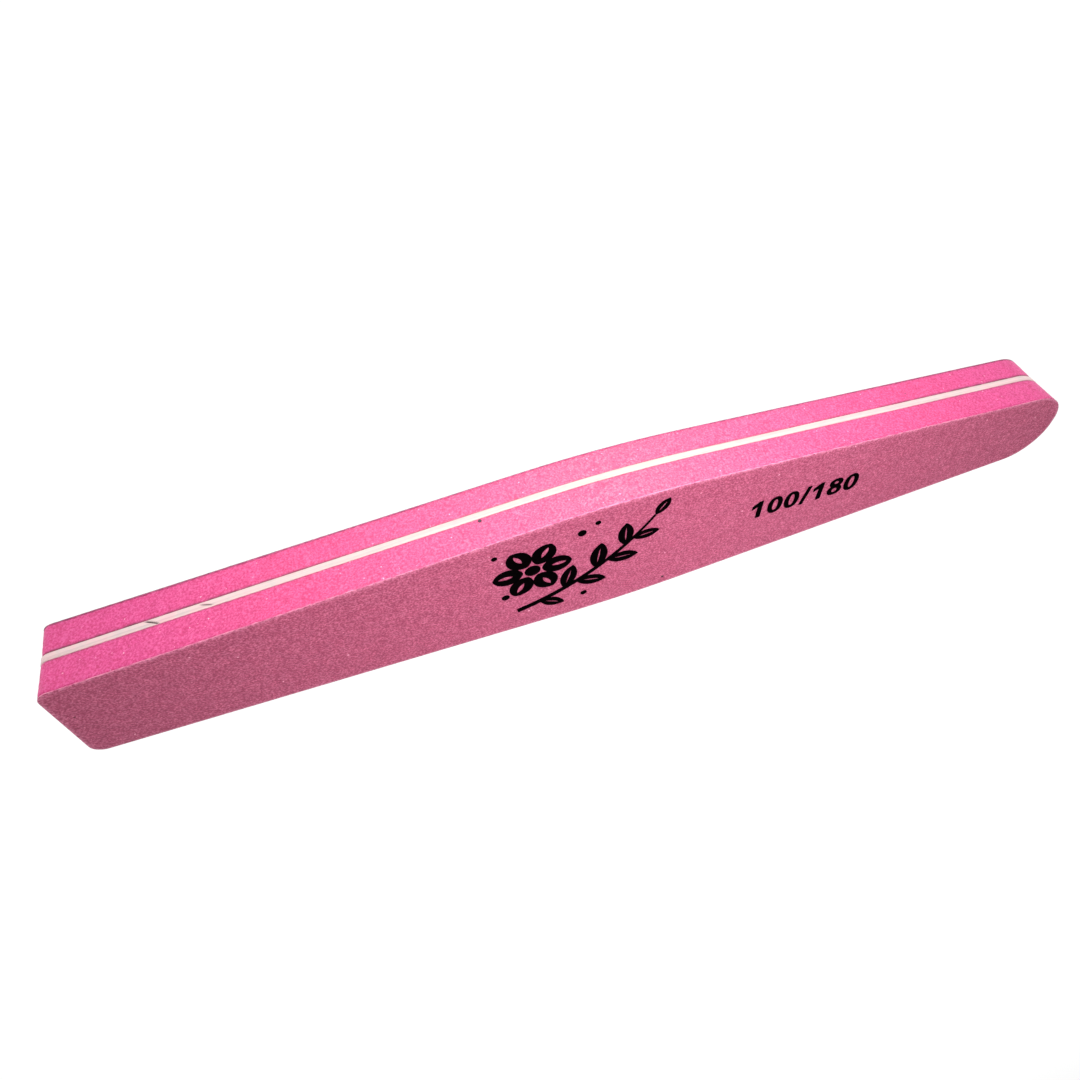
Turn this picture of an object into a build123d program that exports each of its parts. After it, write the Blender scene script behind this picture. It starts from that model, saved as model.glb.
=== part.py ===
"""Nail buffer block: two foam pads bonded to a stiff core board and faced with abrasive sheets.

The block lies flat on its coarse side. X runs along it, Y across it and Z up through its layers.
The origin is on the resting face, under the middle of the block.
"""

from build123d import *
import os

os.makedirs("parts", exist_ok=True)

# Plan shape: a stretched hexagon, widest at mid-length, with two ends of their own
LENGTH = 178.0
APEX_HALF_WIDTH = 14.2  # to the sharp corner that the mid-length bend rounds off
BEND_RADIUS = 200.0
LEFT_END = (8.0, -11.1)  # Y of the squarer end's two corners
LEFT_LEAN = 0.8  # how far the first of them stands back from the end
RIGHT_END = (7.8, -7.2)  # Y of the rounder end's two corners
LEFT_RADII = (1.9, 2.1)
RIGHT_RADII = (7.3, 7.8)

# Layers through the thickness
THICKNESS = 12.0
CORE_THICKNESS = 1.3
CORE_CENTRE = 5.75  # height of the core's middle, a little below the block's
TAPE_THICKNESS = 0.08
PAPER_THICKNESS = 0.2
ADHESIVE_THICKNESS = 0.08
COARSE_GRIT_THICKNESS = 0.16
FINE_GRIT_THICKNESS = 0.1
FOAM_SETBACK = 0.15  # die-cut foam springs back behind the board and the sheets
BOND_SETBACK = 0.3  # tape and adhesive stop short of the cut edge

# Print on the fine side
INK_THICKNESS = 0.04
NUMBER_HEIGHT = 4.5
NUMBER_HALF_WIDTH = 1.47
NUMBER_STROKE = 0.97
NUMBER_CAP = 0.78  # thickness of an oval's top and bottom
NUMBER_START = (25.2, -1.6)  # foot of the first numeral's middle line
NUMBER_PITCH = 3.3
SLASH_STEP = 2.8  # from the slash's middle line to its neighbours'
FULLNESS = 0.62  # of an oval's quarter; 0.55 would be an ellipse
LOWER_BOWL = (0.29, 1.0, 0.29)  # the eight's rings: centre height, half width, half height
UPPER_BOWL = (0.74, 0.93, 0.26)  # as shares of the numeral's height, half width and height
STEM_SHIFT = 0.18  # the one's stem stands right of the middle line
FLAG_REACH = 1.35
FLAG_HEIGHTS = (0.77, 0.55, 0.68)  # shares of the numeral's height, from the tip round to the stem
SLASH_FOOT = (-0.97, -0.13)
SLASH_LEAN = 1.05
SLASH_OVERSHOOT = 0.02  # of the numeral's height, at each end
ORNAMENT_CENTRE = (-8.2, 0.3)


def block_outline():
    """The plan of the board and the sheets, with its bends and corners rounded."""
    half = LENGTH / 2
    corners = [
        (-half + LEFT_LEAN, LEFT_END[0]),
        (0, APEX_HALF_WIDTH),
        (half, RIGHT_END[0]),
        (half, RIGHT_END[1]),
        (0, -APEX_HALF_WIDTH),
        (-half, LEFT_END[1]),
    ]
    radii = [LEFT_RADII[0], BEND_RADIUS, *RIGHT_RADII, BEND_RADIUS, LEFT_RADII[1]]
    with BuildSketch() as plan:
        with BuildLine():
            FilletPolyline(*corners, radius=radii, close=True)
        make_face()
    return plan.sketch


def inset_outline(setback):
    """The same plan, drawn in by a setback all round."""
    with BuildSketch() as plan:
        add(block_outline())
        if setback:
            offset(amount=-setback, mode=Mode.REPLACE)
    return plan.sketch


# Each layer's name, thickness and setback, from the resting face up
FOAM_BOTTOM = COARSE_GRIT_THICKNESS + PAPER_THICKNESS + ADHESIVE_THICKNESS
FOAM_TOP = THICKNESS - FINE_GRIT_THICKNESS - PAPER_THICKNESS - ADHESIVE_THICKNESS
CORE_STACK = CORE_THICKNESS / 2 + TAPE_THICKNESS
LAYERS = [
    ("grit_coat_lower", COARSE_GRIT_THICKNESS, 0),
    ("backing_paper_lower", PAPER_THICKNESS, 0),
    ("sheet_adhesive_lower", ADHESIVE_THICKNESS, BOND_SETBACK),
    ("foam_pad_lower", CORE_CENTRE - CORE_STACK - FOAM_BOTTOM, FOAM_SETBACK),
    ("core_tape_lower", TAPE_THICKNESS, BOND_SETBACK),
    ("core_board", CORE_THICKNESS, 0),
    ("core_tape_upper", TAPE_THICKNESS, BOND_SETBACK),
    ("foam_pad_upper", FOAM_TOP - CORE_CENTRE - CORE_STACK, FOAM_SETBACK),
    ("sheet_adhesive_upper", ADHESIVE_THICKNESS, BOND_SETBACK),
    ("backing_paper_upper", PAPER_THICKNESS, 0),
    ("grit_coat_upper", FINE_GRIT_THICKNESS, 0),
]

level = 0.0
for name, thickness, setback in LAYERS:
    plan = inset_outline(setback)
    with BuildPart() as layer:
        with BuildSketch(Plane.XY.offset(level)):
            add(plan)
        extrude(amount=thickness)
    layer.part.label = name
    export_step(layer.part, f"parts/{name}.step")
    level += thickness


# Numerals: bold and upright, drawn from ovals and straight strokes
def oval_face(centre_y, half_width, half_height):
    """A slightly squared oval on the numeral's middle line, in four quarters."""
    quarters = [Vector(1, 0), Vector(0, 1), Vector(-1, 0), Vector(0, -1)]

    def spot(direction):
        return (half_width * direction.X, centre_y + half_height * direction.Y)

    with BuildSketch() as oval:
        with BuildLine():
            for start, end in zip(quarters, quarters[1:] + quarters[:1]):
                Bezier(spot(start), spot(start + end * FULLNESS), spot(end + start * FULLNESS), spot(end))
        make_face()
    return oval.sketch


def ring_face(centre_y, half_width, half_height):
    """An oval with its counter cut out."""
    with BuildSketch() as ring:
        add(oval_face(centre_y, half_width, half_height))
        add(counter_face(centre_y, half_width, half_height), mode=Mode.SUBTRACT)
    return ring.sketch


def counter_face(centre_y, half_width, half_height):
    """The opening inside an oval of the given size."""
    return oval_face(centre_y, half_width - NUMBER_STROKE, half_height - NUMBER_CAP)


def stroke_face(*points):
    """A polygon."""
    with BuildSketch() as stroke:
        with BuildLine():
            Polyline(*points, close=True)
        make_face()
    return stroke.sketch


def zero():
    """One tall ring."""
    return ring_face(NUMBER_HEIGHT / 2, NUMBER_HALF_WIDTH, NUMBER_HEIGHT / 2)


def eight():
    """Two rings run together, the upper one a little smaller."""
    bowls = [
        (centre * NUMBER_HEIGHT, width * NUMBER_HALF_WIDTH, height * NUMBER_HEIGHT)
        for centre, width, height in (LOWER_BOWL, UPPER_BOWL)
    ]
    with BuildSketch() as numeral:
        for bowl in bowls:
            add(oval_face(*bowl))
        for bowl in bowls:
            add(counter_face(*bowl), mode=Mode.SUBTRACT)
    return numeral.sketch


def one():
    """A stem a little right of the middle line, with a flag down to its left."""
    left = STEM_SHIFT - NUMBER_STROKE / 2
    right = left + NUMBER_STROKE
    tip_top, tip_bottom, notch = [share * NUMBER_HEIGHT for share in FLAG_HEIGHTS]
    return stroke_face(
        (left, 0),
        (right, 0),
        (right, NUMBER_HEIGHT),
        (0, NUMBER_HEIGHT),
        (-FLAG_REACH, tip_top),
        (-FLAG_REACH, tip_bottom),
        (left, notch),
    )


def slash():
    """A leaning stroke, a touch taller than the numerals."""
    bottom = -SLASH_OVERSHOOT * NUMBER_HEIGHT
    top = NUMBER_HEIGHT - bottom
    left, right = SLASH_FOOT
    return stroke_face((left, bottom), (right, bottom), (right + SLASH_LEAN, top), (left + SLASH_LEAN, top))


# Each numeral with the step to it from the one before
numerals = [
    (one(), 0),
    (zero(), NUMBER_PITCH),
    (zero(), NUMBER_PITCH),
    (slash(), SLASH_STEP),
    (one(), SLASH_STEP),
    (eight(), NUMBER_PITCH),
    (zero(), NUMBER_PITCH),
]

with BuildPart() as printed_grit_mark:
    with BuildSketch(Plane.XY.offset(THICKNESS)):
        place, foot = NUMBER_START
        for numeral, step in numerals:
            place += step
            with Locations((place, foot)):
                add(numeral)
    extrude(amount=INK_THICKNESS)
printed_grit_mark.part.label = "printed_grit_mark"
export_step(printed_grit_mark.part, "parts/printed_grit_mark.step")


# Ornament: a blossom on a leafy sprig
STEM_START = (-11.4, -8.2)
STEM_MIDDLE = (2.7, -2.4)
STEM_END = (13.2, 7.8)
STEM_WIDTH = 1.15
BLOSSOM_PLACE = (-8.1, 2.4)
BLOSSOM_EYE = 1.35
PETALS = 6
PETAL_LENGTH = 5.2
PETAL_WIDTH = 4.1
PETAL_START = 1.6
PETAL_SLOT = (0.32, 0.5, 0.2)  # start and length as shares of the petal's length, width of its width
# Each leaf: distance along the stem (0 to 1), side, length, width and lean from the stem in degrees
LEAVES = [
    (0.14, -1, 5.1, 2.3, 48),
    (0.30, 1, 6.3, 2.9, 50),
    (0.38, -1, 5.8, 2.7, 46),
    (0.52, 1, 6.7, 3.1, 48),
    (0.60, -1, 5.8, 2.7, 44),
    (0.74, 1, 5.9, 2.8, 46),
    (0.80, -1, 4.9, 2.3, 42),
    (1.00, 1, 4.2, 2.1, 0),
]
VEIN_START = 0.2  # of the leaf's length
VEIN_SHARE = 0.6
VEIN_WIDTH = 0.26
DOTS = [(0.5, 8.6, 0.75), (3.2, 10.1, 0.5), (-13.1, -3.1, 0.7), (-14.0, 8.5, 0.5), (0.7, -8.8, 0.6)]


def blade(length, width):
    """A pointed leaf from the origin along X, bounded by two arcs."""
    with BuildSketch() as shape:
        with BuildLine():
            ThreePointArc((0, 0), (length / 2, width / 2), (length, 0))
            ThreePointArc((length, 0), (length / 2, -width / 2), (0, 0))
        make_face()
    return shape.sketch


def veined_leaf(length, width):
    """A leaf with an open midrib."""
    vein = blade(length * VEIN_SHARE, VEIN_WIDTH)
    with BuildSketch() as shape:
        add(blade(length, width))
        with Locations((VEIN_START * length, 0)):
            add(vein, mode=Mode.SUBTRACT)
    return shape.sketch


def stem_band():
    """The stem, a curved band that tapers to its tip."""
    with BuildLine() as centre:
        line = ThreePointArc(STEM_START, STEM_MIDDLE, STEM_END)
    side = Vector(0, 0, 1).cross(line % 0) * (STEM_WIDTH / 2)
    middle_side = Vector(0, 0, 1).cross(line % 0.5) * (STEM_WIDTH * 0.4)
    tip_side = Vector(0, 0, 1).cross(line % 1) * (STEM_WIDTH * 0.2)
    with BuildSketch() as shape:
        with BuildLine():
            ThreePointArc(line @ 0 + side, line @ 0.5 + middle_side, line @ 1 + tip_side)
            Line(line @ 1 + tip_side, line @ 1 - tip_side)
            ThreePointArc(line @ 1 - tip_side, line @ 0.5 - middle_side, line @ 0 - side)
            Line(line @ 0 - side, line @ 0 + side)
        make_face()
    return shape.sketch, centre.line


stem_shape, stem_line = stem_band()
leaf_shapes = [veined_leaf(length, width) for _, _, length, width, _ in LEAVES]
petal_shape = blade(PETAL_LENGTH, PETAL_WIDTH)
slot_start, slot_length, slot_width = PETAL_SLOT
petal_slot = blade(slot_length * PETAL_LENGTH, slot_width * PETAL_WIDTH)

with BuildPart() as printed_ornament:
    with BuildSketch(Plane.XY.offset(THICKNESS)):
        with Locations(ORNAMENT_CENTRE):
            add(stem_shape)
        for (along, side, _, _, lean), leaf in zip(LEAVES, leaf_shapes):
            root = stem_line @ along + Vector(*ORNAMENT_CENTRE)
            direction = stem_line % along
            heading = Vector(1, 0, 0).get_signed_angle(direction, Vector(0, 0, 1)) + side * lean
            with Locations(Location(root, (0, 0, heading))):
                add(leaf)
        blossom = Vector(*ORNAMENT_CENTRE) + Vector(*BLOSSOM_PLACE)
        with Locations(blossom):
            with PolarLocations(PETAL_START, PETALS):
                add(petal_shape)
            with PolarLocations(PETAL_START + slot_start * PETAL_LENGTH, PETALS):
                add(petal_slot, mode=Mode.SUBTRACT)
            Circle(BLOSSOM_EYE)
        for x, y, radius in DOTS:
            with Locations((x + ORNAMENT_CENTRE[0], y + ORNAMENT_CENTRE[1])):
                Circle(radius)
    extrude(amount=INK_THICKNESS)
printed_ornament.part.label = "printed_ornament"
export_step(printed_ornament.part, "parts/printed_ornament.step")
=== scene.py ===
"""Looks of the nail buffer block: die-cut foam, white core, abrasive faces and black print.

Everything is in metres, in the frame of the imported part: X along the block, Y across it, Z up.
"""

import math

import bpy
import numpy as np
from mathutils import Euler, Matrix, Vector, kdtree, noise


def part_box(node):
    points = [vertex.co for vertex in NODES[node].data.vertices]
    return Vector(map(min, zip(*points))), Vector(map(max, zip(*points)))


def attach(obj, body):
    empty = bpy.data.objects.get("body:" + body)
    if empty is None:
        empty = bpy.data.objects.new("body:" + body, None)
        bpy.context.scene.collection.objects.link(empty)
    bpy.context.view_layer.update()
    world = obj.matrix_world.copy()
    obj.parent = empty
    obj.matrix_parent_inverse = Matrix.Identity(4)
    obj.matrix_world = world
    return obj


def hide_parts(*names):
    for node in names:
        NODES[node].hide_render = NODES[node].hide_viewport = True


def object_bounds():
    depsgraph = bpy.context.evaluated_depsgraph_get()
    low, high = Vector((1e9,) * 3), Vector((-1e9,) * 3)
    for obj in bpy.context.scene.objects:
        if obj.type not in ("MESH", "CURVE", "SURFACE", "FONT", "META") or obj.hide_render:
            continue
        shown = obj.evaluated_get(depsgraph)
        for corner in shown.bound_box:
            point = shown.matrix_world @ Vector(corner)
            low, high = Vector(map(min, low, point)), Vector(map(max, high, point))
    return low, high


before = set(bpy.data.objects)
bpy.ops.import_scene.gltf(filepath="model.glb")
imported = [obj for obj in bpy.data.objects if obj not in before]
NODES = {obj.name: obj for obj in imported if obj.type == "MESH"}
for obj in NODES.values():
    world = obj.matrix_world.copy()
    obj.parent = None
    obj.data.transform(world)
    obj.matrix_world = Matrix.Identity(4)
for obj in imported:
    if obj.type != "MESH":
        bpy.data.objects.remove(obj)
CAD_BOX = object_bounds()

MM = 0.001
HALF_LENGTH = CAD_BOX[1].x


# ---------------------------------------------------------------- plan outline

STEP_ALONG = 0.25 * MM
BEND_ZONE = 30 * MM  # the gentle bend lies this far each side of mid-length
BEND_BLEND = 6 * MM
BEND_SMOOTHING = 3.0 * MM
CORNER_SMOOTHING = 0.25 * MM


def cad_outline(node):
    """A node's plan outline as it comes from the frame, anticlockwise, as an array of points."""
    points = np.array([v.co for v in NODES[node].data.vertices])
    base = points[points[:, 2] < points[:, 2].min() + 1e-6, :2]
    base = np.unique(np.round(base, 8), axis=0)
    return base[np.argsort(np.arctan2(base[:, 1], base[:, 0]))]


def resampled(loop, count):
    """A closed loop with evenly spaced points."""
    closed = np.vstack([loop, loop[:1]])
    lengths = np.hypot(*np.diff(closed, axis=0).T)
    along = np.concatenate([[0], np.cumsum(lengths)])
    wanted = np.linspace(0, along[-1], count, endpoint=False)
    return np.column_stack([np.interp(wanted, along, closed[:, axis]) for axis in (0, 1)])


def blurred(loop, radius):
    """A closed loop of evenly spaced points, smoothed by a bell of the given radius."""
    reach = max(1, round(3 * radius / STEP_ALONG))
    offsets = np.arange(-reach, reach + 1)
    weights = np.exp(-0.5 * (offsets * STEP_ALONG / radius) ** 2)
    weights /= weights.sum()
    return sum(w * np.roll(loop, -o, axis=0) for w, o in zip(weights, offsets))


def smooth_outline(node):
    """A node's outline with even spacing, its long bend and its corners free of facets."""
    rough = cad_outline(node)
    around = np.hypot(*np.diff(np.vstack([rough, rough[:1]]), axis=0).T).sum()
    loop = resampled(rough, 2 * round(around / STEP_ALONG / 2))
    corners = blurred(loop, CORNER_SMOOTHING)
    bend = blurred(loop, BEND_SMOOTHING)
    share = np.clip((BEND_ZONE - np.abs(loop[:, :1])) / BEND_BLEND, 0, 1)
    return corners + (bend - corners) * share


def outward(loop):
    """Unit outward normals of an anticlockwise closed loop."""
    along = np.roll(loop, -1, axis=0) - np.roll(loop, 1, axis=0)
    normal = np.column_stack([along[:, 1], -along[:, 0]])
    return normal / np.hypot(*normal.T)[:, None]


PLAN = smooth_outline("core_board")
PLAN_NORMALS = outward(PLAN)


# ---------------------------------------------------------------- mesh helpers


def keep_values(piece, name, values):
    """Keeps one value for each of a mesh's points, for its material to read."""
    piece.data.attributes.new(name, "FLOAT", "POINT").data.foreach_set("value", values)


def ripple(points, size, seed):
    """Smooth noise from -1 to 1 at each point, with features of about the given size."""
    shift = Vector((seed * 7.31, seed * 3.17, seed * 5.73))
    return np.array([noise.noise(Vector(p) / size + shift) for p in points])


def new_piece(name, vertices, faces):
    """A mesh object from arrays, linked to the scene."""
    mesh = bpy.data.meshes.new(name)
    mesh.from_pydata([tuple(v) for v in vertices], [], faces)
    mesh.validate()
    mesh.polygons.foreach_set("use_smooth", [True] * len(mesh.polygons))
    mesh.update()
    piece = bpy.data.objects.new(name, mesh)
    bpy.context.scene.collection.objects.link(piece)
    return piece


def cap_faces(start, count, upward):
    """Quads across one closed ring of points, from its two mirrored sides."""
    faces = []
    for i in range(count // 2):
        j = (count - i) % count
        quad = [i, i + 1, count - i - 1, j]
        ring = [start + k for k in dict.fromkeys(quad)]
        if len(ring) > 2:
            faces.append(ring if upward else ring[::-1])
    return faces


def band_solid(name, rows):
    """A closed solid from rings of the plan outline. Each row is (ring of points, height of each point)."""
    count = len(PLAN)
    vertices = np.vstack([np.column_stack([ring, heights]) for ring, heights in rows])
    faces = cap_faces(0, count, upward=False)
    for row in range(len(rows) - 1):
        for i in range(count):
            j = (i + 1) % count
            a, b = row * count, (row + 1) * count
            faces.append((a + i, a + j, b + j, b + i))
    faces += cap_faces((len(rows) - 1) * count, count, upward=True)
    return new_piece(name, vertices, faces)


# ---------------------------------------------------------------- foam pads

FOAM_ROW = 0.20 * MM
FOAM_RIM_SETBACK = 0.02 * MM  # where a pad meets its abrasive sheet
FOAM_WAVE = 0.06 * MM
FOAM_WAVE_SIZE = 9 * MM
FOAM_GRAIN = 0.045 * MM
FOAM_GRAIN_SIZE = 0.5 * MM
WAIST_POWER = 2.2  # keeps the waist close to the core
CORE_SHADOW_WIDTH = 0.24 * MM


def foam_pad(name, node, core_side, waist, core_shadow_strength, seed):
    """A die-cut pad. Its wall draws in towards the core by a waist, and carries a painted shadow along the
    core.
    """
    low, high = (corner.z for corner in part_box(node))
    count = round((high - low) / FOAM_ROW)
    rows = []
    core_shadow = []
    for height in np.linspace(low, high, count + 1):
        to_core = (high - height if core_side == "low" else height - low) / (high - low)
        setback = FOAM_RIM_SETBACK + waist * to_core**WAIST_POWER
        from_core = (1 - to_core) * (high - low)
        # Painted shadow on the wall, strongest next to the core.
        core_shadow.append(np.full(len(PLAN), core_shadow_strength * math.exp(-((from_core / CORE_SHADOW_WIDTH) ** 2))))
        ring = PLAN - PLAN_NORMALS * setback
        points = np.column_stack([ring, np.full(len(ring), height)])
        relief = FOAM_WAVE * ripple(points, FOAM_WAVE_SIZE, seed)
        relief += FOAM_GRAIN * ripple(points, FOAM_GRAIN_SIZE, seed + 1)
        rows.append((ring + PLAN_NORMALS * relief[:, None], np.full(len(ring), height)))
    piece = band_solid(name, rows)
    keep_values(piece, "core_shadow", np.concatenate(core_shadow))
    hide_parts(node)
    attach(piece, "root")
    return piece


# Both pads carry a painted shadow along the core, strongest on the lower pad.
foam_upper = foam_pad("foam_upper", "foam_pad_upper", "low", waist=0.04 * MM, core_shadow_strength=0.35, seed=1)
foam_lower = foam_pad("foam_lower", "foam_pad_lower", "high", waist=0.10 * MM, core_shadow_strength=1.0, seed=2)


# ---------------------------------------------------------------- core board

CORE_EDGE = 0.12 * MM
CORE_WAVE = 0.02 * MM
CORE_WAVE_SIZE = 1.6 * MM
# Nicks in the board's cut edge on the +Y side, in millimetres: X, half length and depth.
# Then the share of the board's height where each one starts and ends.
NICKS = [(-72.1, 1.0, 0.40, 0.15, 0.98), (-64.3, 0.9, 0.22, 0.3, 0.8)]
NICK_CURVE = 1.3
NICK_WIDTH = 0.075  # share of the board's height
# The nicks get painted shade, darker the deeper they cut.
NICK_SHADE_DEPTH = 0.20 * MM  # a nick this deep is fully dark


def nick_depth(ring, share):
    """How deep the nicks cut into the board's edge at one height."""
    depth = np.zeros(len(ring))
    for place, half, deep, start, end in NICKS:
        along = (ring[:, 0] / MM - place) / half
        centre = start + (end - start) * np.clip((along + 1) / 2, 0, None) ** NICK_CURVE
        close = np.exp(-(((share - centre) / NICK_WIDTH) ** 2)) * np.clip(1.2 - along**2, 0, 1)
        depth += deep * MM * close * (ring[:, 1] > 0)
    return depth


def core_sheet():
    """The white board, with softly broken edges and two nicks."""
    low, high = (corner.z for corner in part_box("core_board"))
    rows = []
    nick_shade = []
    shares = [0, 0.03, 0.09, *np.linspace(0.15, 0.85, 18), 0.91, 0.97, 1]
    for share in shares:
        from_edge = min(share, 1 - share) * (high - low)
        setback = CORE_EDGE * max(0, 1 - from_edge / CORE_EDGE) ** 2
        height = low + (high - low) * share
        points = np.column_stack([PLAN, np.full(len(PLAN), height)])
        wave = CORE_WAVE * (ripple(points, CORE_WAVE_SIZE, 5) - 1)
        nicks = nick_depth(PLAN, share)
        # Painted shade in the nicks, darker the deeper they cut.
        nick_shade.append(np.clip(nicks / NICK_SHADE_DEPTH, 0, 1))
        inward = setback + nicks - wave
        rows.append((PLAN - PLAN_NORMALS * inward[:, None], np.full(len(PLAN), height)))
    piece = band_solid("core_sheet", rows)
    keep_values(piece, "nick", np.concatenate(nick_shade))
    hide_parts("core_board")
    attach(piece, "root")
    return piece


core = core_sheet()


# ---------------------------------------------------------------- abrasive sheets

PAPER_RAG = 0.05 * MM  # half the unevenness of a sheet's cut rim
PAPER_RAG_SIZE = 0.7 * MM


def paper_sheet(name, node, seed):
    """A backing sheet: only its slightly ragged cut rim shows."""
    low, high = (corner.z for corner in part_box(node))
    rows = []
    for share in (0, 0.25, 0.5, 0.75, 1):
        height = low + (high - low) * share
        points = np.column_stack([PLAN, np.full(len(PLAN), height)])
        ragged = PAPER_RAG * (ripple(points, PAPER_RAG_SIZE, seed) - 1)
        rows.append((PLAN + PLAN_NORMALS * ragged[:, None], np.full(len(PLAN), height)))
    piece = band_solid(name, rows)
    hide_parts(node)
    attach(piece, "root")
    return piece


paper_upper = paper_sheet("paper_upper", "backing_paper_upper", 11)
paper_lower = paper_sheet("paper_lower", "backing_paper_lower", 12)

COLUMNS = 860
ROWS = 96
EDGE_CROWDING = 0.4  # how far the rows crowd towards the two long edges
DEEPEST = 0.85  # share of the coat's thickness that grains and roll may take away
EDGE_ROLL = 0.09 * MM  # how far the cutter pressed the coat's edge down
EDGE_ROLL_WIDTH = 0.35 * MM
RIM_WIDTH = 0.38 * MM  # of the paler, frayed edge


def chains(loop):
    """The loop's two sides between its leftmost and rightmost points, each in order of X."""
    left = loop[:, 0].argmin()
    turned = np.roll(loop, -left, axis=0)
    right = turned[:, 0].argmax()
    first = turned[: right + 1]
    second = np.vstack([turned[right:], turned[:1]])[::-1]
    return first, second


def edge_distance(points):
    """Distance of each point from the plan outline."""
    tree = kdtree.KDTree(len(PLAN))
    for index, (x, y) in enumerate(PLAN):
        tree.insert((x, y, 0), index)
    tree.balance()
    return np.array([tree.find((x, y, 0))[2] for x, y in points])


def grit_sheet(name, node, faces_up, grain, grain_size, seed):
    """An abrasive coat: a fine grid with real grains on its outer side and a rolled cut edge."""
    low, high = (corner.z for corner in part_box(node))
    thickness = high - low
    near, far = chains(PLAN)
    turn = np.linspace(0, math.pi, COLUMNS + 1)
    xs = (near[-1, 0] + near[0, 0]) / 2 - np.cos(turn) * (near[-1, 0] - near[0, 0]) / 2
    lower = np.interp(xs, near[:, 0], near[:, 1])
    upper = np.interp(xs, far[:, 0], far[:, 1])
    even = np.linspace(0, 1, ROWS + 1)
    shares = (1 - EDGE_CROWDING) * even + EDGE_CROWDING * (1 - np.cos(math.pi * even)) / 2
    grid_x = np.repeat(xs, ROWS + 1)
    grid_y = (lower[:, None] + (upper - lower)[:, None] * shares).ravel()
    to_edge = edge_distance(np.column_stack([grid_x, grid_y]))
    flat = np.column_stack([grid_x, grid_y, np.zeros(len(grid_x))])
    relief = grain * (ripple(flat, grain_size, seed) - 1) / 2
    relief += 0.5 * grain * (ripple(flat, 0.45 * grain_size, seed + 1) - 1) / 2
    roll = EDGE_ROLL * np.exp(-((to_edge / EDGE_ROLL_WIDTH) ** 2))
    depth = np.minimum(roll - relief, DEEPEST * thickness)
    inner, outer = (low, high) if faces_up else (high, low)
    outer_z = outer - depth if faces_up else outer + depth
    count = len(grid_x)
    outer_side = np.column_stack([grid_x, grid_y, outer_z])
    inner_side = np.column_stack([grid_x, grid_y, np.full(count, inner)])
    stride = ROWS + 1
    starts = (np.arange(COLUMNS)[:, None] * stride + np.arange(ROWS)).ravel()
    quads = np.column_stack([starts, starts + stride, starts + stride + 1, starts + 1])
    border = [i * stride for i in range(COLUMNS + 1)]
    border += [COLUMNS * stride + j for j in range(1, stride)]
    border += [i * stride + ROWS for i in range(COLUMNS - 1, -1, -1)]
    border += [j for j in range(ROWS - 1, 0, -1)]
    faces = quads.tolist()
    for a, b in zip(border, border[1:] + border[:1]):
        faces.append([a, a + count, b + count, b])
    faces.append([k + count for k in border[::-1]])
    if not faces_up:
        faces = [face[::-1] for face in faces]
    piece = new_piece(name, np.vstack([outer_side, inner_side]), faces)
    rim = np.exp(-((to_edge / RIM_WIDTH) ** 2))
    keep_values(piece, "rim", np.tile(rim, 2))
    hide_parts(node)
    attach(piece, "root")
    return piece


grit_upper = grit_sheet("grit_fine", "grit_coat_upper", True, 0.03 * MM, 0.5 * MM, seed=21)
grit_lower = grit_sheet("grit_coarse", "grit_coat_lower", False, 0.06 * MM, 0.7 * MM, seed=31)


# ---------------------------------------------------------------- materials

# The two larger dark specks, one on the upper pad's +Y wall and one on the printed face
WALL_SPECK = (-0.0227, 0.0126, 0.0069)
FACE_SPECK = (0.0079, -0.01148, 0.012)


def between(first, second, share):
    """A colour part of the way from one to another."""
    return tuple(a + (b - a) * share for a, b in zip(first, second))


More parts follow.
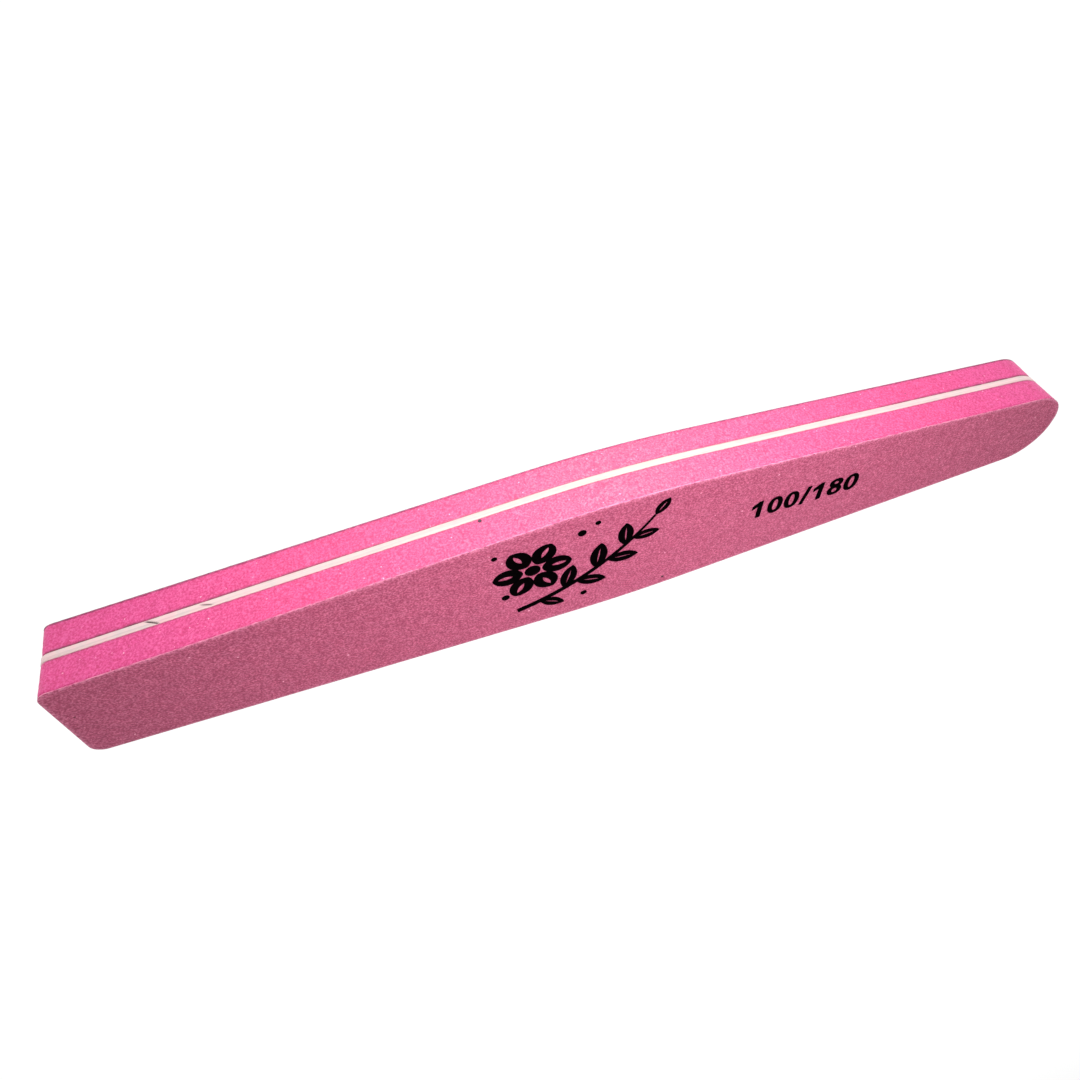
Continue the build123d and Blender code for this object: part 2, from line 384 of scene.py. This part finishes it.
class Nodes:
    """A material's node tree, with short calls for the nodes used here."""

    def __init__(self, name):
        self.material = bpy.data.materials.new(name)
        self.material.use_nodes = True
        self.tree = self.material.node_tree
        self.shader = self.tree.nodes["Principled BSDF"]
        self.coordinates = self.add("ShaderNodeTexCoord").outputs["Object"]

    def add(self, kind, **values):
        node = self.tree.nodes.new(kind)
        for key, value in values.items():
            setattr(node, key, value)
        return node

    def link(self, output, target):
        self.tree.links.new(output, target)

    def set(self, **values):
        """Sets the shader's own sockets, such as Roughness."""
        for key, value in values.items():
            self.shader.inputs[key.replace("_", " ")].default_value = value

    def stretched(self, x, y, z):
        node = self.add("ShaderNodeMapping")
        node.inputs["Scale"].default_value = (x, y, z)
        self.link(self.coordinates, node.inputs["Vector"])
        return node.outputs["Vector"]

    def noise(self, size, detail=2.0, roughness=0.5, vector=None):
        """Noise from 0 to 1 with features of about the given size in metres."""
        node = self.add("ShaderNodeTexNoise")
        node.inputs["Scale"].default_value = 1 / size
        node.inputs["Detail"].default_value = detail
        node.inputs["Roughness"].default_value = roughness
        self.link(vector or self.coordinates, node.inputs["Vector"])
        return node.outputs["Fac"]

    def ramp(self, value, *stops):
        """A colour ramp. Each stop is (position, colour or grey level)."""
        node = self.add("ShaderNodeValToRGB")
        elements = node.color_ramp.elements
        while len(elements) < len(stops):
            elements.new(0.5)
        for element, (position, colour) in zip(elements, stops):
            element.position = position
            element.color = (*colour, 1) if isinstance(colour, tuple) else (colour, colour, colour, 1)
        self.link(value, node.inputs["Fac"])
        return node.outputs["Color"]

    def mix(self, factor, a, b, blend="MIX"):
        node = self.add("ShaderNodeMix", data_type="RGBA", blend_type=blend)
        for socket, value in ((node.inputs[0], factor), (node.inputs[6], a), (node.inputs[7], b)):
            if isinstance(value, bpy.types.NodeSocket):
                self.link(value, socket)
            elif isinstance(value, tuple):
                socket.default_value = (*value, 1)
            else:
                socket.default_value = value
        return node.outputs[2]

    def math(self, operation, a, b):
        node = self.add("ShaderNodeMath", operation=operation)
        for socket, value in ((node.inputs[0], a), (node.inputs[1], b)):
            if isinstance(value, bpy.types.NodeSocket):
                self.link(value, socket)
            else:
                socket.default_value = value
        return node.outputs[0]

    def specks(self, spacing, radius, share, seed):
        """1 inside sparse round specks, 0 elsewhere: a share of the cells of a given spacing has one."""
        shift = self.add("ShaderNodeVectorMath", operation="ADD")
        self.link(self.coordinates, shift.inputs[0])
        shift.inputs[1].default_value = (seed * 0.013, seed * 0.027, seed * 0.019)
        cells = self.add("ShaderNodeTexVoronoi")
        cells.inputs["Scale"].default_value = 1 / spacing
        self.link(shift.outputs[0], cells.inputs["Vector"])
        split = self.add("ShaderNodeSeparateColor")
        self.link(cells.outputs["Color"], split.inputs[0])
        chosen = self.math("LESS_THAN", split.outputs["Red"], share)
        size = self.math("MULTIPLY", self.math("ADD", split.outputs["Green"], 0.4), radius / spacing)
        inside = self.math("LESS_THAN", cells.outputs["Distance"], size)
        return self.math("MULTIPLY", chosen, inside)

    def attribute(self, name):
        """A value kept on the mesh's points."""
        return self.add("ShaderNodeAttribute", attribute_name=name).outputs["Fac"]

    def spot(self, place, radius):
        """1 within a radius of one place on the block, 0 elsewhere."""
        gap = self.add("ShaderNodeVectorMath", operation="DISTANCE")
        self.link(self.coordinates, gap.inputs[0])
        gap.inputs[1].default_value = place
        return self.math("LESS_THAN", gap.outputs["Value"], radius)

    def painted_light_along_y(self, ends, middle):
        """Painted light and shade: a slow change of colour along the +Y side, from the ends to mid-length.
        The -Y side keeps the tone of the ends throughout.
        """
        split = self.add("ShaderNodeSeparateXYZ")
        self.link(self.coordinates, split.inputs[0])
        along = self.math("DIVIDE", self.math("ABSOLUTE", split.outputs["X"], 0.0), HALF_LENGTH)
        share = self.math("ADD", along, self.math("LESS_THAN", split.outputs["Y"], 0.0))
        return self.ramp(share, (0.05, middle), (0.35, between(ends, middle, 0.6)), (0.85, ends))

    def bump(self, height, distance, strength):
        node = self.add("ShaderNodeBump")
        node.inputs["Distance"].default_value = distance
        node.inputs["Strength"].default_value = strength
        self.link(height, node.inputs["Height"])
        return node.outputs["Normal"]

    def finish(self, colour=None, normal=None):
        """Joins a colour and a normal to the shader and gives the material."""
        for value, socket in ((colour, "Base Color"), (normal, "Normal")):
            if value is not None:
                self.link(value, self.shader.inputs[socket])
        return self.material


def foam_material():
    """Hot pink closed-cell foam: mottled fine cells, painted glints and a few dark specks.

    Along the +Y side a painted highlight pales the pink from a deeper tone at the ends to a paler one at
    mid-length. A painted shadow darkens the wall along the core.
    """
    n = Nodes("pink_foam")
    cells = n.noise(0.32 * MM, detail=3.0, roughness=0.7)
    blotch = n.noise(2.2 * MM, detail=4.0, roughness=0.6)
    dark, middle, light = (0.70, 0.026, 0.155), (0.85, 0.074, 0.255), (0.97, 0.19, 0.38)
    colour = n.ramp(cells, (0.34, dark), (0.50, middle), (0.66, light))
    shade = n.ramp(blotch, (0.32, (0.90, 0.80, 0.86)), (0.68, (1.0, 1.0, 1.0)))
    colour = n.mix(1.0, colour, shade, "MULTIPLY")
    # Painted highlight: along the +Y side the pink pales towards mid-length.
    colour = n.mix(1.0, colour, n.painted_light_along_y((0.93, 0.67, 1.04), (1.0, 1.24, 0.87)), "MULTIPLY")
    # Painted glints: small bright specks among the cells.
    colour = n.mix(n.specks(1.1 * MM, 0.11 * MM, 0.26, 1), colour, (1.0, 0.32, 0.52))
    colour = n.mix(n.specks(0.85 * MM, 0.09 * MM, 0.20, 2), colour, (1.0, 0.50, 0.68))
    colour = n.mix(n.specks(3.4 * MM, 0.13 * MM, 0.16, 6), colour, (0.22, 0.02, 0.07))
    # Painted shadow on the wall along the core: patchy, and thinner towards mid-length on the +Y side.
    patches = n.ramp(n.noise(1.6 * MM, detail=2.0), (0.30, 0.35), (0.55, 1.0))
    thinning = n.mix(1.0, patches, n.painted_light_along_y((1.0, 1.0, 1.0), (0.25, 0.25, 0.25)), "MULTIPLY")
    painted_core_shadow = n.math("MULTIPLY", n.attribute("core_shadow"), thinning)
    colour = n.mix(painted_core_shadow, colour, (0.17, 0.02, 0.055))
    colour = n.mix(n.spot(WALL_SPECK, 0.32 * MM), colour, (0.06, 0.01, 0.03))
    normal = n.bump(cells, 0.10 * MM, 0.6)
    n.set(Roughness=0.56, Specular_IOR_Level=0.75)
    return n.finish(colour, normal)


def grit_material(name, grain_size, dark, middle, light, frayed):
    """Abrasive grain in pink resin: crisp fine grains, painted glints on some of them, and a frayed rim."""
    n = Nodes(name)
    grains = n.noise(grain_size, detail=3.0, roughness=0.75)
    blotch = n.noise(2.0 * MM, detail=4.0, roughness=0.65)
    colour = n.ramp(grains, (0.38, dark), (0.50, middle), (0.62, light))
    shade = n.ramp(blotch, (0.34, (0.84, 0.80, 0.83)), (0.66, (1.0, 1.0, 1.0)))
    colour = n.mix(1.0, colour, shade, "MULTIPLY")
    # Painted glints on some grains.
    colour = n.mix(n.specks(1.2 * MM, 0.12 * MM, 0.22, 3), colour, (0.88, 0.27, 0.42))
    colour = n.mix(n.specks(1.8 * MM, 0.12 * MM, 0.22, 4), colour, (1.0, 0.50, 0.66))
    colour = n.mix(n.specks(4.4 * MM, 0.15 * MM, 0.13, 5), colour, (0.14, 0.015, 0.03))
    colour = n.mix(n.spot(FACE_SPECK, 0.28 * MM), colour, (0.05, 0.008, 0.02))
    fray = n.noise(0.45 * MM, detail=2.0, roughness=0.7)
    rim = n.math("MULTIPLY", n.attribute("rim"), n.ramp(fray, (0.40, 0.0), (0.62, 0.9)))
    colour = n.mix(rim, colour, frayed)
    normal = n.bump(grains, 0.12 * MM, 0.8)
    n.set(Roughness=0.62, Specular_IOR_Level=0.35)
    return n.finish(colour, normal)


def core_material():
    """White plastic board: faint tints and lines along its cut edge, painted shade in its two nicks, and
    painted shade towards mid-length on the +Y side.
    """
    n = Nodes("white_core")
    lines = n.noise(1.0 * MM, detail=2.0, vector=n.stretched(0.06, 0.06, 3.0))
    tint = n.noise(2.4 * MM, detail=3.0, roughness=0.6)
    colour = n.ramp(tint, (0.34, (0.76, 0.61, 0.60)), (0.50, (0.86, 0.63, 0.62)), (0.66, (0.90, 0.58, 0.60)))
    colour = n.mix(1.0, colour, n.ramp(lines, (0.35, 0.86), (0.6, 1.0)), "MULTIPLY")
    # Painted shade: along the +Y side the board is toned darker towards mid-length.
    colour = n.mix(1.0, colour, n.painted_light_along_y((1.0, 1.0, 1.0), (0.71, 0.82, 0.76)), "MULTIPLY")
    # Painted shade in the two nicks.
    colour = n.mix(n.attribute("nick"), colour, (0.06, 0.03, 0.03))
    normal = n.bump(lines, 0.03 * MM, 0.3)
    n.set(Roughness=0.5, Specular_IOR_Level=0.4)
    return n.finish(colour, normal)


def paper_material(name, dark, light):
    """A sheet's cut rim, with short fibres."""
    n = Nodes(name)
    fibres = n.noise(0.35 * MM, detail=2.0, vector=n.stretched(0.4, 0.4, 1.0))
    colour = n.ramp(fibres, (0.38, dark), (0.62, light))
    normal = n.bump(fibres, 0.05 * MM, 0.5)
    n.set(Roughness=0.8, Specular_IOR_Level=0.2)
    return n.finish(colour, normal)


def tape_material(name, colour_low, colour_high):
    """Tape or dried adhesive in the glue line: dark, slightly uneven."""
    n = Nodes(name)
    patches = n.noise(1.2 * MM, detail=2.0)
    colour = n.ramp(patches, (0.35, colour_low), (0.65, colour_high))
    n.set(Roughness=0.6)
    return n.finish(colour, n.bump(patches, 0.02 * MM, 0.4))


def ink_material():
    """Flat black ink that follows the grains under it."""
    n = Nodes("black_ink")
    grains = n.noise(0.34 * MM, detail=3.0, roughness=0.75)
    colour = n.ramp(grains, (0.35, (0.0008, 0.0006, 0.0007)), (0.75, (0.0035, 0.0018, 0.0026)))
    n.set(Roughness=0.9, Specular_IOR_Level=0.0)
    return n.finish(colour, n.bump(grains, 0.05 * MM, 0.5))


def paint(piece, material):
    piece.data.materials.clear()
    piece.data.materials.append(material)


foam = foam_material()
fine_grit = grit_material(
    "fine_grit",
    0.34 * MM,
    dark=(0.41, 0.054, 0.125),
    middle=(0.600, 0.104, 0.212),
    light=(0.80, 0.215, 0.36),
    frayed=(0.92, 0.33, 0.50),
)
coarse_grit = grit_material(
    "coarse_grit",
    0.5 * MM,
    dark=(0.30, 0.05, 0.10),
    middle=(0.46, 0.10, 0.18),
    light=(0.66, 0.2, 0.3),
    frayed=(0.10, 0.06, 0.09),
)
paper_pink = paper_material("fine_sheet_rim", (0.72, 0.13, 0.30), (0.92, 0.33, 0.50))
paper_deep = paper_material("coarse_sheet_rim", (0.40, 0.07, 0.17), (0.60, 0.13, 0.27))
tape = tape_material("glue_line", (0.16, 0.05, 0.07), (0.30, 0.12, 0.15))
adhesive = tape_material("sheet_glue", (0.45, 0.12, 0.2), (0.6, 0.2, 0.3))
ink = ink_material()

for piece in (foam_upper, foam_lower):
    paint(piece, foam)
paint(paper_upper, paper_pink)
paint(paper_lower, paper_deep)
paint(core, core_material())
paint(grit_upper, fine_grit)
paint(grit_lower, coarse_grit)
for node in ("core_tape_upper", "core_tape_lower"):
    paint(NODES[node], tape)
for node in ("sheet_adhesive_upper", "sheet_adhesive_lower"):
    paint(NODES[node], adhesive)
for node in ("printed_grit_mark", "printed_ornament"):
    paint(NODES[node], ink)


# ---------------------------------------------------------------- stage

FLOOR_CENTRE = 0.25
FLOOR_RADIUS = 0.9
SWEEP_RADIUS = 1.6
SWEEP_HEIGHT = 1.5
SWEEP_STEPS = 14
SWEEP_SIDES = 96
FLOOR_GLOW = 1.0
FLOOR_WHITE = 0.08
WORLD_STRENGTH = 0.2


def studio_floor():
    """A round pale floor that sweeps up into its backdrop on every side."""
    profile = [(0.0, 0.0), (FLOOR_CENTRE, 0.0), (FLOOR_RADIUS, 0.0)]
    for step in range(1, SWEEP_STEPS + 1):
        turn = step / SWEEP_STEPS * math.pi / 2
        radius = FLOOR_RADIUS + (SWEEP_RADIUS - FLOOR_RADIUS) * math.sin(turn)
        profile.append((radius, SWEEP_HEIGHT * (1 - math.cos(turn))))
    vertices = [(0, 0, 0)]
    faces = []
    for radius, height in profile[1:]:
        for side in range(SWEEP_SIDES):
            turn = side / SWEEP_SIDES * 2 * math.pi
            vertices.append((radius * math.cos(turn), radius * math.sin(turn), height))
    for side in range(SWEEP_SIDES):
        after = (side + 1) % SWEEP_SIDES
        faces.append((0, 1 + side, 1 + after))
        for ring in range(len(profile) - 2):
            a, b = 1 + ring * SWEEP_SIDES, 1 + (ring + 1) * SWEEP_SIDES
            faces.append((a + side, b + side, b + after, a + after))
    floor = new_piece("studio_floor", vertices, faces)
    return floor


def floor_material():
    """Pale, softly lit from within, brightest low down."""
    n = Nodes("pale_floor")
    split = n.add("ShaderNodeSeparateXYZ")
    n.link(n.coordinates, split.inputs[0])
    height = n.math("DIVIDE", split.outputs["Z"], SWEEP_HEIGHT)
    glow = n.ramp(height, (0.0, 1.0), (0.14, 1.0), (0.5, 0.28))
    n.set(Base_Color=(FLOOR_WHITE, FLOOR_WHITE, FLOOR_WHITE, 1), Roughness=0.9, Specular_IOR_Level=0.0)
    n.set(Emission_Strength=FLOOR_GLOW)
    n.link(glow, n.shader.inputs["Emission Color"])
    return n.finish()


paint(studio_floor(), floor_material())

world = bpy.data.worlds.new("studio")
world.use_nodes = True
world.node_tree.nodes["Background"].inputs["Color"].default_value = (1, 1, 1, 1)
world.node_tree.nodes["Background"].inputs["Strength"].default_value = WORLD_STRENGTH
bpy.context.scene.world = world


def soft_light(name, place, target, size, power, spread):
    """A square softbox at a place, aimed at a target, in metres and watts."""
    lamp = bpy.data.lights.new(name, "AREA")
    lamp.size = size
    lamp.energy = power
    lamp.spread = math.radians(spread)
    holder = bpy.data.objects.new(name, lamp)
    holder.location = place
    holder.rotation_euler = (Vector(target) - Vector(place)).to_track_quat("-Z", "Y").to_euler()
    bpy.context.scene.collection.objects.link(holder)


soft_light("high_softbox", (0.008, 0.19, 0.31), (0.008, 0.0, 0.006), 0.12, 0.081, 42)
soft_light("low_softbox", (0.0, 0.20, 0.02), (0.003, 0.01, 0.006), 0.06, 0.025, 45)


# ---------------------------------------------------------------- camera

# The printed face is up. The camera hangs over the +Y edge, upside down, so that this edge comes out
# at the top of the picture. Place in metres, turn in degrees.
CAMERA_PLACE = (-0.03224, 0.10533, 0.07996)
CAMERA_TURN = (-50.726, -19.764, -0.579)
CAMERA_LENS = 25.35
CAMERA_SHIFT = (-0.0331, -0.0338)

lens = bpy.data.cameras.new("camera")
lens.lens = CAMERA_LENS
lens.shift_x, lens.shift_y = CAMERA_SHIFT
lens.clip_start = 0.005
lens.clip_end = 20
camera = bpy.data.objects.new("camera", lens)
camera.location = CAMERA_PLACE
camera.rotation_euler = Euler([math.radians(turn) for turn in CAMERA_TURN])
bpy.context.scene.collection.objects.link(camera)
bpy.context.scene.camera = camera
bpy.context.scene.view_settings.view_transform = "Standard"
